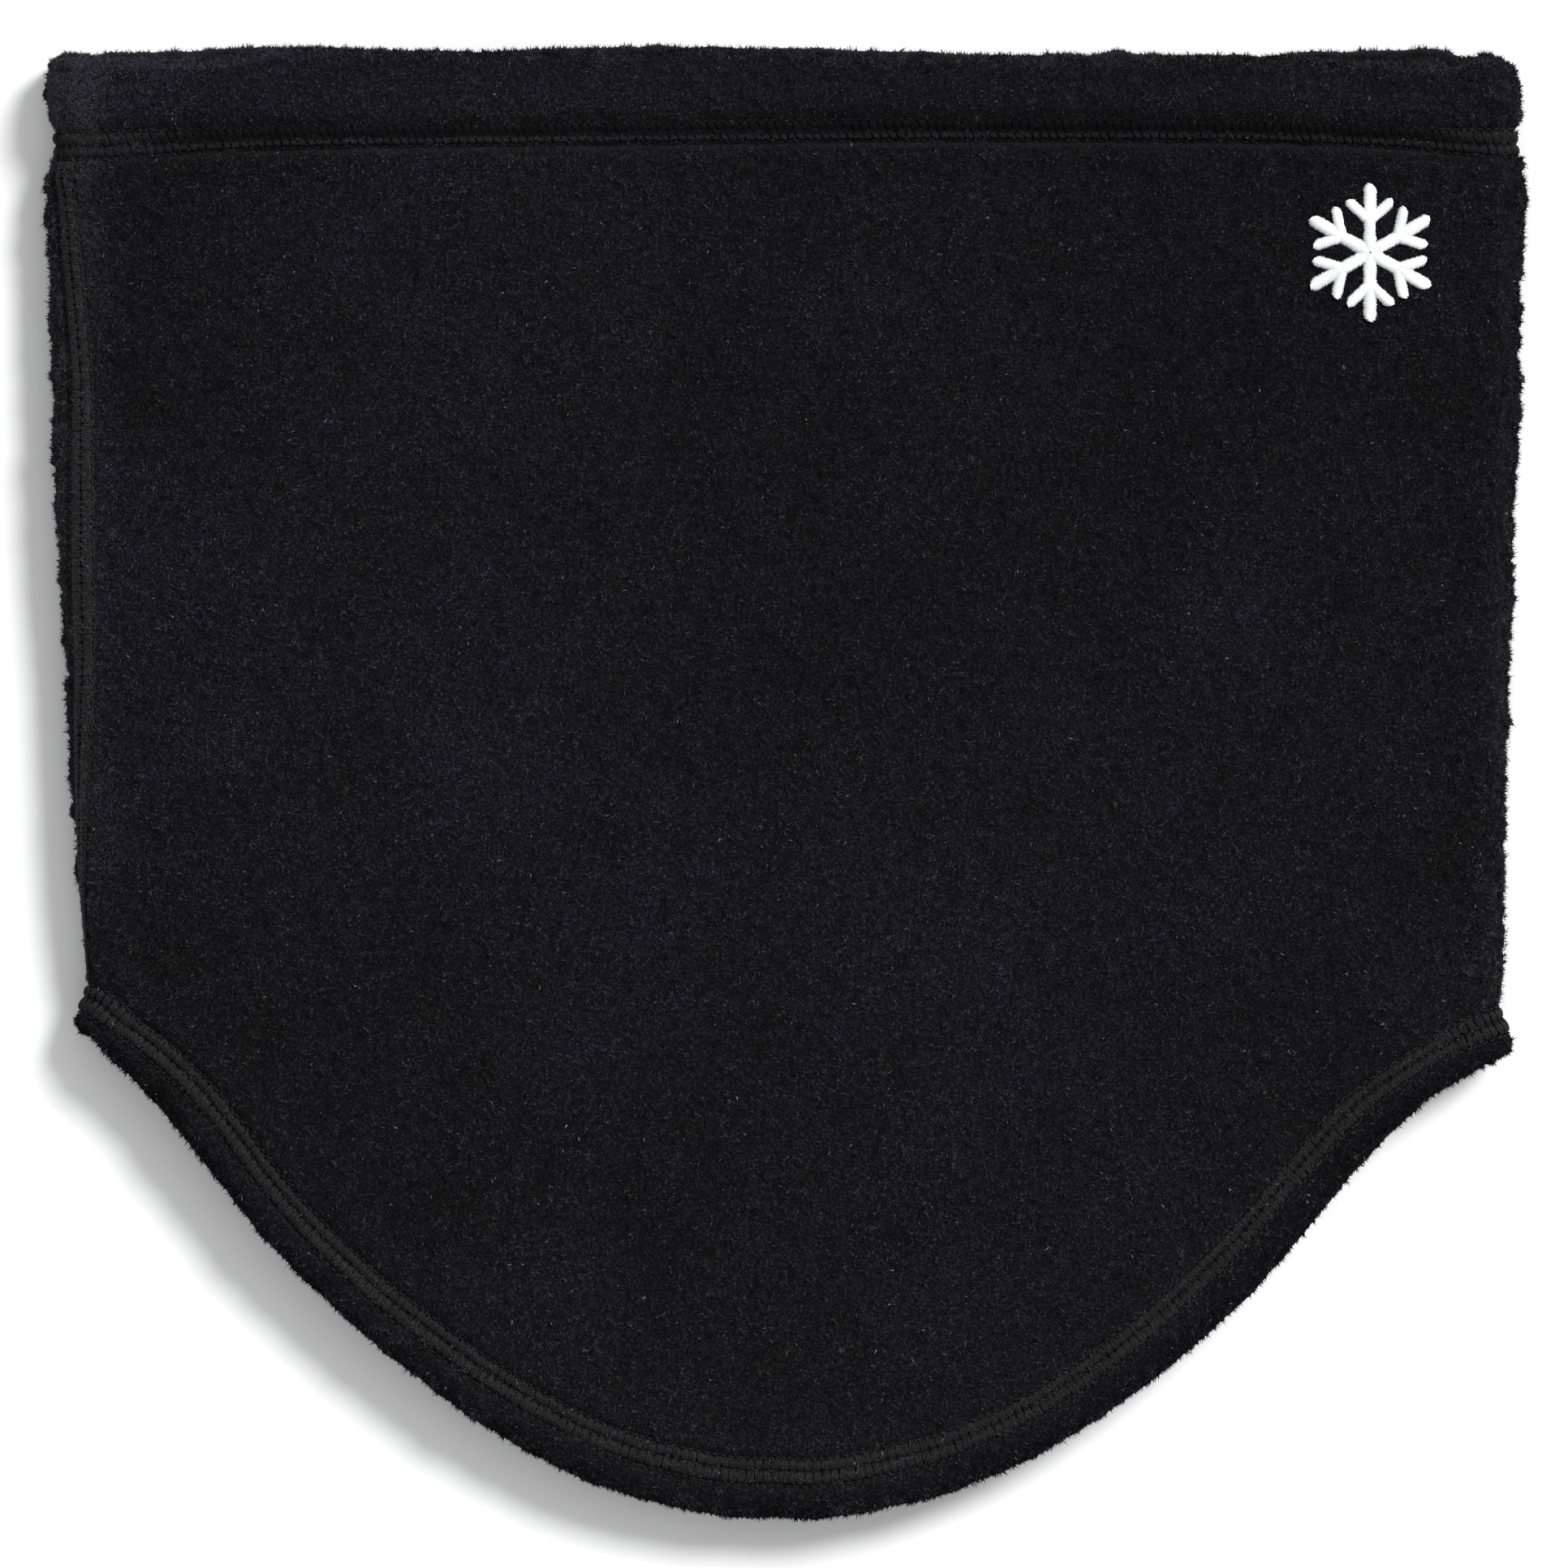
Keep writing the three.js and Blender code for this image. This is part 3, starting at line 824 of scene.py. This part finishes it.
def fleece_material(name, level):
    """Brushed fleece: fibre grain, clumps, soft blotches, the painted light and shade kept on its
    points, and a few painted glints.
    """
    mat, tree, shader = material(name, 0.95, sheen=0.03, sheen_tint=(0.86, 0.88, 1.0),
                                 specular=0.06)
    where = tree.nodes.new("ShaderNodeTexCoord").outputs["Object"]
    grain = noise_at(tree, where, 0.50, 3, 0.7)
    clump = noise_at(tree, where, 1.5, 2, 0.5)
    glint = noise_at(tree, where, 0.38, 1, 0.5)
    hue = noise_at(tree, where, 9, 2, 0.5)
    dark, mid, light = (tuple(level * k * c for c in (1.0, 0.96, 1.20)) for k in (0.12, 0.8, 3.2))
    colour = ramp(tree, grain, [(0.34, dark), (0.50, mid), (0.68, light)])
    for source, stops in (
            (clump, [(0.30, (0.60,) * 3), (0.70, (1.40,) * 3)]),
            (hue, [(0.38, (0.98, 0.98, 0.86)), (0.62, (1.02, 0.97, 1.16))])):
        colour = mix_colours(tree, "MULTIPLY", colour, ramp(tree, source, stops))
    # times the painted light and shade kept on the points
    colour = times_light_and_tone(tree, colour)
    # painted glints: bright specks added to the colour
    sparkle = ramp(tree, glint, [(0.725, (0,) * 3), (0.80, (level * 9,) * 3)])
    tree.links.new(mix_colours(tree, "ADD", colour, sparkle), shader.inputs["Base Color"])
    bump(tree, shader, grain, 1.0, 0.5)
    return mat


def fibre_material(name, colour):
    """Loose pile fibres of one shade."""
    mat, _, shader = material(name, 0.7, specular=0.08)
    shader.inputs["Base Color"].default_value = (*colour, 1)
    return mat


def thread_material(name, dark, light, sheen=0.1, rough=0.62, shaded=False):
    """Polyester thread: fine filament streaks. A shaded one takes its points' painted shade as well."""
    mat, tree, shader = material(name, rough, sheen=sheen, specular=0.12)
    where = tree.nodes.new("ShaderNodeTexCoord").outputs["Object"]
    fine = noise_at(tree, where, 0.34, 3, 0.7)
    broad = noise_at(tree, where, 6.0, 1, 0.5)
    colour = ramp(tree, fine, [(0.32, dark), (0.68, light)])
    patchy = ramp(tree, broad, [(0.3, (0.86,) * 3), (0.7, (1.12,) * 3)])
    colour = mix_colours(tree, "MULTIPLY", colour, patchy)
    if shaded:
        colour = times_light_and_tone(tree, colour)
    tree.links.new(colour, shader.inputs["Base Color"])
    bump(tree, shader, fine, 0.7, 0.10)
    return mat


FLEECE = fleece_material("fleece_black", 0.0040)
BLACK_THREAD = (0.0044, 0.0043, 0.0044), (0.0200, 0.0197, 0.0198)
SEAM_THREAD = thread_material("seam_thread_black", *BLACK_THREAD, sheen=0.02)
# the cover stitch's thread also takes the painted shade kept on its points
COVER_THREAD = thread_material("cover_thread_black", *BLACK_THREAD, sheen=0.02, shaded=True)
MARK_THREAD = thread_material("embroidery_white", (0.74, 0.75, 0.78), (0.93, 0.93, 0.95), rough=0.42)
BACKING = thread_material("stabiliser_black", (0.020, 0.020, 0.021), (0.042, 0.042, 0.045), rough=0.9)
LABEL = thread_material("label_satin", (0.62, 0.62, 0.60), (0.78, 0.78, 0.76), rough=0.35, sheen=0.2)
# pile shades by tone; the last, glint, is a painted glint
SHADES = [fibre_material(f"pile_{word}", colour) for word, colour in (
    ("deep", (0.0010, 0.0010, 0.0012)),
    ("mid_cool", (0.0066, 0.0059, 0.0099)), ("mid_grey", (0.0064, 0.0062, 0.0068)),
    ("pale_cool", (0.0172, 0.0156, 0.0237)), ("pale_grey", (0.0170, 0.0165, 0.0178)),
    ("bright_cool", (0.0342, 0.0315, 0.0440)), ("bright_grey", (0.0340, 0.0330, 0.0358)),
    ("glint", (0.1300, 0.1300, 0.1450)))]
GLINT = 7


def finish_piece(ob, slot, *materials, stands_for=None):
    """Dress a piece, fix it to the body, and hide the CAD node it stands for; its slot is not used."""
    for mat in materials:
        ob.data.materials.append(mat)
    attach(ob, "root")
    if stands_for:
        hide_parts(stands_for)
    return ob


# ------ the panels and their pile

front_panel = finish_piece(panel("front_fleece_panel", 0.15, RIGHT_SEAM - 0.15, 0.98, 0.85),
                           "fleece", FLEECE, stands_for="front_panel")
back_panel = finish_piece(panel("back_fleece_panel", RIGHT_SEAM + 0.15, AROUND - 0.15, 1.2, 0.8),
                          "fleece", FLEECE, stands_for="back_panel")


def pile(name, first, last, fold, count, seed, edges=0):
    """Fibres over one panel's outer face and round its hem folds. The first edges of them stand at
    the hem folds and along the side fold, and there the tips gather in tufts."""
    rng = np.random.default_rng(seed)
    round_hem = HEM_FOLD * (math.pi / 2 - 1)
    extra, where = np.arange(count) < edges, rng.random(count)
    u = rng.uniform(first, last, count)
    u = np.where(extra & (where > 0.7), fold + rng.uniform(-5, 5, count), u)
    # t is the way from the middle of the chin fold, down the face, to the middle of the bib fold
    span = chin_y(u) - bib_y(u)
    t = rng.uniform(0, 1, count) * (span + 2 * round_hem) - round_hem
    t = np.where(extra & (where < 0.3), rng.uniform(-round_hem, 2.5, count), t)
    t = np.where(extra & (where > 0.3) & (where < 0.7),
                 span + round_hem - rng.uniform(0, 4, count), t)
    chin, bib, square = chin_y(u), bib_y(u), steepness(u)
    at_chin = t < HEM_FOLD
    at_bib = t > span - HEM_FOLD
    turn_chin = np.clip((HEM_FOLD - t) / HEM_FOLD, 0, math.pi / 2)
    turn_bib = np.clip((t - span + HEM_FOLD) / HEM_FOLD, 0, math.pi / 2)
    y = np.where(at_chin, chin - HEM_FOLD + HEM_FOLD * np.sin(turn_chin), chin - t)
    y = np.where(at_bib, bib + (HEM_FOLD - HEM_FOLD * np.sin(turn_bib)) / square, y)
    depth = np.where(at_chin, HEM_FOLD * (1 - np.cos(turn_chin)), 0.0)
    depth = np.where(at_bib, HEM_FOLD * (1 - np.cos(turn_bib)), depth)
    # fewer fibres lie over the stitching
    below = chin_line(u) - y
    above = (y - bib_line(u)) * square
    squeeze = chin_squeeze(u)
    on_chin = (below > -EDGE_NEEDLE * squeeze) & (below < BODY_NEEDLE * squeeze)
    on_band = on_chin | (above > -EDGE_NEEDLE) & (above < BODY_NEEDLE)
    on_seam = (from_seam(u) < SEAM_NEEDLE) & (below > 0) & (above > 0) & ~on_band
    keep = rng.random(count) >= np.where(on_band, 0.5 - 1.7 * (1 - squeeze), 0.0)
    u, y, t, depth, chin, bib, span, on_chin, on_band, on_seam, turn_chin, turn_bib = (
        a[keep] for a in (u, y, t, depth, chin, bib, span, on_chin, on_band, on_seam,
                          turn_chin, turn_bib))
    count = len(u)
    face = normals_at(u, np.clip(y, bib + 3, chin - 3), 0.0)
    rim = np.stack([0 * u, np.sin(turn_chin) - np.sin(turn_bib), 0 * u], -1)
    normal = face * (np.cos(turn_chin) * np.cos(turn_bib))[:, None] + rim
    normal /= np.linalg.norm(normal, axis=1, keepdims=True)
    # tufts at the edges that show against the floor: each has a centre, and a length of its own
    edge = np.maximum(1 - ease(np.minimum(t + round_hem, span + round_hem - t), 1.5, 3.5),
                      1 - ease(np.abs(u + seam_roll(y) - fold), 3, 5))
    i = np.floor(u / TUFT).astype(int)
    j = np.floor(t / TUFT + 0.5 * (i % 2)).astype(int)
    tuft = rng.uniform(-0.4, 0.4, (997, 3))[(73 * i + 151 * j) % 997]
    to_u = (i + 0.5 + tuft[:, 0]) * TUFT - u
    to_t = (j + 0.5 - 0.5 * (i % 2) + tuft[:, 1]) * TUFT - t
    step = place(u + 0.3, y) - place(u - 0.3, y)
    step /= np.linalg.norm(step, axis=1, keepdims=True)
    pull = step * to_u[:, None] + np.cross(step, normal) * to_t[:, None]
    length = rng.uniform(0.5, 1.1, count) * (1 + edge * 1.3 * tuft[:, 2])
    rise = rng.uniform(0.05, 0.8, count) * (1 - edge) + rng.uniform(0.3, 1.3, count) * edge
    length, rise = length * (1 - 0.25 * on_band), rise * (1 - 0.5 * on_band)
    root = place(u, y, depth - 0.42 * on_band - 0.34 * on_seam, pile=True)
    ob = fibres(name, root, normal, rng, length, (0.18, 0.36), rise, pull * 0.8 * edge[:, None])
    finish_piece(ob, "fleece", *SHADES)
    # deep, mid, pale or bright by tone, which carries the fleece's painted light and shade and the
    # painted shade on the chin band under the hem's roll, in cool and grey patches, and a few painted
    # glints
    tone = (0.15 * clumps(u, y) + 0.35 * tufts(u, y) + 0.9 * tone_and_painted_light_at(u, y)
            + rng.normal(0.1, 0.95, count) * (1 + 0.5 * on_band) + 0.4 * on_band
            - 1.5 * (1 - shade_under_roll(u)) * on_chin)
    shade = np.digitize(tone, (-0.5, 0.3, 1.15))
    cool = 0.6 * lumps(u, y) + 0.6 * waves(u, y) + rng.normal(0, 0.9, count) > -0.3
    shade = np.where(shade > 0, 2 * shade - (cool & ~on_band & ~on_seam), 0)
    shade = np.where(rng.random(count) < 0.004, GLINT, shade)
    ob.data.polygons.foreach_set("material_index", shade.astype(np.int32))
    return ob


FRONT = (0.2, RIGHT_SEAM - 0.2, RIGHT_FOLD)
BACK = (RIGHT_SEAM + 0.2, AROUND - 0.2, LEFT_FOLD)
front_pile = pile("front_fleece_pile", *FRONT, 195000, 21)
front_nap = pile("front_fleece_nap", *FRONT, 195000, 23, 40000)
back_pile = pile("back_fleece_pile", *BACK, 165000, 22, 45000)


# ------ the stitching

rng = np.random.default_rng(31)
for name, band, shade in (
        ("chin_hem", Band(chin_line, chin_squeeze, -1), shade_under_roll),
        ("bib_hem", Band(bib_line, same_all_round, 1), same_all_round)):
    cover, needle = cover_stitch(name, band, shade, rng)
    finish_piece(cover, "seam_thread", COVER_THREAD, stands_for=f"{name}_cover_stitch")
    finish_piece(needle, "seam_thread", COVER_THREAD)
    finish_piece(looper_stitch(f"{name}_looper_threads", band),
                 "seam_thread", SEAM_THREAD, stands_for=f"{name}_inner_stitch")
for name, seam_u in (("left", 0.0), ("right", RIGHT_SEAM)):
    top, low = float(chin_line(seam_u)) - 3.0, float(bib_line(seam_u)) + 3.2
    spots = top - (np.arange(int((top - low) / STITCH)) + 0.5) * STITCH
    finish_piece(seam_stitch(f"{name}_flatlock_threads", seam_u, spots, rng),
                 "seam_thread", SEAM_THREAD, stands_for=f"{name}_seam_flatlock_stitch")
    finish_piece(seam_inner_stitch(f"{name}_flatlock_inner_threads", seam_u, spots),
                 "seam_thread", SEAM_THREAD, stands_for=f"{name}_seam_inner_stitch")


# ------ mark, backing and label

def satin_bar(start, stop, half, rng):
    """Threads laid across a bar from start to stop; its far end is rounded."""
    run = stop - start
    length = np.linalg.norm(run)
    ahead = run / length
    side = np.array([-ahead[1], ahead[0]])
    count = max(3, int(length / 0.33))
    at = (np.arange(count) + 0.5) * length / count
    to_end = length - at
    reach = np.full(count, half)
    near = to_end < half
    reach[near] = np.sqrt(np.maximum(half ** 2 - (half - to_end[near]) ** 2, 0.05))
    reach = reach * (1 + rng.normal(0, 0.035, count))
    slant = 0.22

    def point(share):
        share = 2 * share - 1
        flat = (start[None] + ahead[None] * (at + slant * share)[:, None]
                + side[None] * (reach * share)[:, None])
        return on_front(flat[:, 0], flat[:, 1], -0.12 + 0.72 * (1 - abs(share) ** 2.6))

    return ribbon_tubes(sweep(7, point), SATIN_THREAD, np.tile([*ahead, 0.0], (count, 1)))


def snowflake(name, rng):
    """A snowflake in satin stitch: six arms, each with a pair of branches."""
    parts = []
    centre = np.array(MARK)
    for arm in range(6):
        angle = math.pi / 2 + arm * math.pi / 3
        ahead = np.array([math.cos(angle), math.sin(angle)])
        side = np.array([-ahead[1], ahead[0]])
        parts.append(satin_bar(centre + ahead * 0.2, centre + ahead * MARK_RADIUS, 1.3, rng))
        for turn in (-1, 1):
            root = centre + ahead * 6.6 + side * turn * 0.4
            parts.append(satin_bar(root, root + ahead * 3.7 + side * turn * 4.0, 1.1, rng))
    return joined(name, parts)


finish_piece(snowflake("snowflake_satin_stitch", rng), "embroidery_thread", MARK_THREAD,
             stands_for="embroidered_mark")


def disc(name, radius, thick, rng):
    """Non-woven backing with a slightly ragged rim, under the front's inner face."""
    rings, spokes = 14, 72
    gap = 0.15
    spoke = np.arange(spokes) * 2 * math.pi / spokes
    rim = radius + 0.25 * np.sin(np.arange(spokes) * 7.0) + rng.normal(0, 0.12, spokes)
    points, faces = [], []
    for lift in (-CLOTH - gap, -CLOTH - gap - thick):
        for ring in range(rings):
            r = rim * ((ring + 1) / rings)
            flat = on_front(MARK[0] + r * np.cos(spoke), MARK[1] + r * np.sin(spoke), lift)
            points.append(flat + np.stack([0 * r, 0 * r, rng.normal(0, 0.04, spokes)], 1))
        points.append(on_front(np.array([MARK[0]]), np.array([MARK[1]]), lift))
    size, last = rings * spokes + 1, (rings - 1) * spokes
    pairs = [(k, (k + 1) % spokes) for k in range(spokes)]
    for base, way in ((0, -1), (size, 1)):
        for near in range(base, base + last, spokes):
            far = near + spokes
            faces += [(near + k, near + n, far + n, far + k)[::way] for k, n in pairs]
        faces += [(base + size - 1, base + k, base + n)[::-way] for k, n in pairs]
    faces += [(last + k, last + size + k, last + size + n, last + n) for k, n in pairs]
    return mesh_of(name, np.concatenate(points), faces)


backing = finish_piece(disc("mark_stabiliser", 15.0, 0.35, rng), "stabiliser", BACKING,
                       stands_for="mark_backing")


def label(name):
    """A satin tape folded in two: its ends at the tack, its fold hanging towards the bib."""
    width, long, layer, gap, top = 25.0, 19.0, 0.32, 0.45, 119.5
    base = CLOTH + 0.55
    path = [(top - long * share, base + layer / 2 + 0.25 * math.sin(2.4 * share) ** 2)
            for share in np.linspace(0, 1, 26)]
    bend = base + layer + gap / 2
    for turn in np.linspace(0, math.pi, 9)[1:-1]:
        path.append((top - long - 0.5 * math.sin(turn), bend - math.cos(turn) * (gap + layer) / 2
                     + 0.25 * math.sin(2.4) ** 2))
    for share in np.linspace(1, 0, 26):
        path.append((top - long * share,
                     base + layer * 1.5 + gap + 0.45 * math.sin(2.6 * share) ** 2))
    path = np.array(path)
    ahead = np.gradient(path, axis=0)
    ahead /= np.linalg.norm(ahead, axis=1, keepdims=True)
    out = np.stack([-ahead[:, 1], ahead[:, 0]], 1)
    xs = np.linspace(-width / 2, width / 2, 26)
    curl = 0.35 * (xs / (width / 2)) ** 4
    points = []
    for sign in (1, -1):
        skin = path + sign * out * layer / 2
        points.append(np.stack([np.repeat(xs[None], len(path), 0),
                                np.repeat(skin[:, :1], len(xs), 1), skin[:, 1:] + curl], -1))
    rows, cols = len(path), len(xs)
    shift = rows * cols
    faces = grid_quads(rows, cols) + [quad[::-1] for quad in grid_quads(rows, cols, shift)]
    low, far = (rows - 1) * cols, cols - 1
    rim = [pair for c in range(far) for pair in ((c + 1, c), (low + c, low + c + 1))]
    rim += [pair for a in range(0, low, cols)
            for pair in ((a, a + cols), (a + far + cols, a + far))]
    faces += [(a, b, shift + b, shift + a) for a, b in rim]
    return mesh_of(name, np.concatenate(points), faces)


care = finish_piece(label("blank_care_label"), "label_tape", LABEL, stands_for="care_label")


def tack(name):
    """Two rows of short stitches across the label's ends."""
    parts = []
    xs = np.arange(-13.2, 13.3, 1.2)
    for row_y in (118.9, 117.7):
        def point(share):
            x = xs + 1.0 * (share - 0.5)
            z = CLOTH + 1.75 + 0.28 * math.sin(math.pi * share) + 0.35 * (np.abs(x) / 12.5) ** 4
            return np.stack([x, row_y + 0 * x, z], 1)

        parts.append(ribbon_tubes(sweep(5, point), TACK_THREAD, up_the_tube(len(xs))))
    return joined(name, parts)


finish_piece(tack("care_label_tack_threads"), "seam_thread", SEAM_THREAD, stands_for="care_label_tack")

# ------ what the cloth was cut to

# Each panel reaches from seam to seam, and from its chin turn-in, round two folds, to its bib
# turn-in; a fold takes half a circle through the middle of the cloth.
PLACES = np.linspace(0, RIGHT_SEAM, 3000)
FOLDED = CHIN_TURN_IN + BIB_TURN_IN - 4 * HEM_FOLD + 2 * math.pi * (HEM_FOLD - CLOTH / 2)
CUT_LENGTH = chin_y(PLACES) - bib_y(PLACES) + FOLDED

# ------ floor, light, camera

FLOOR = 30.0  # half its side, in metres
corners = [(x * FLOOR, y * FLOOR, 0) for x, y in ((-1, -1), (1, -1), (1, 1), (-1, 1))]
floor_mesh = bpy.data.meshes.new("floor")
floor_mesh.from_pydata(corners, [], [(0, 1, 2, 3)])
floor = add_object("floor", floor_mesh)
floor_mat, _, floor_shader = material("floor_white", 0.9, specular=0.0)
floor_shader.inputs["Base Color"].default_value = (0.86, 0.86, 0.865, 1)
floor_mesh.materials.append(floor_mat)
floor.location.z = -0.2 * MM
floor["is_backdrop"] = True

world = bpy.data.worlds.new("studio")
bpy.context.scene.world = world
world.use_nodes = True
sky = world.node_tree.nodes["Background"]
sky.inputs["Color"].default_value = (1.0, 1.0, 1.0, 1)
sky.inputs["Strength"].default_value = 0.67


def sun(name, azimuth, elevation, strength, spread):
    """azimuth from +X counter-clockwise, where the light comes from."""
    lamp = bpy.data.lights.new(name, "SUN")
    lamp.energy = strength
    lamp.angle = math.radians(spread)
    a, e = math.radians(azimuth), math.radians(elevation)
    way = Vector((math.cos(e) * math.cos(a), math.cos(e) * math.sin(a), math.sin(e)))
    add_object(name, lamp).rotation_euler = way.to_track_quat("Z", "Y").to_euler()


sun("key", 40, 43, 3.5, 20)

# The camera looks straight down, and its frame is FRAME_MM wide at the cloth's middle height
FRAME_MM = 309.1
MID_HEIGHT = 7.0
camera = bpy.data.cameras.new("camera")
camera.lens = 300
camera.sensor_width = 36
camera.clip_start = 0.01
camera.clip_end = 50
camera_ob = add_object("camera", camera)
distance = FRAME_MM * camera.lens / camera.sensor_width
camera_ob.location = (-0.24 * MM, -0.48 * MM, (distance + MID_HEIGHT) * MM)
bpy.context.scene.camera = camera_ob
bpy.context.scene.view_settings.view_transform = "Standard"

low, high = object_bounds()
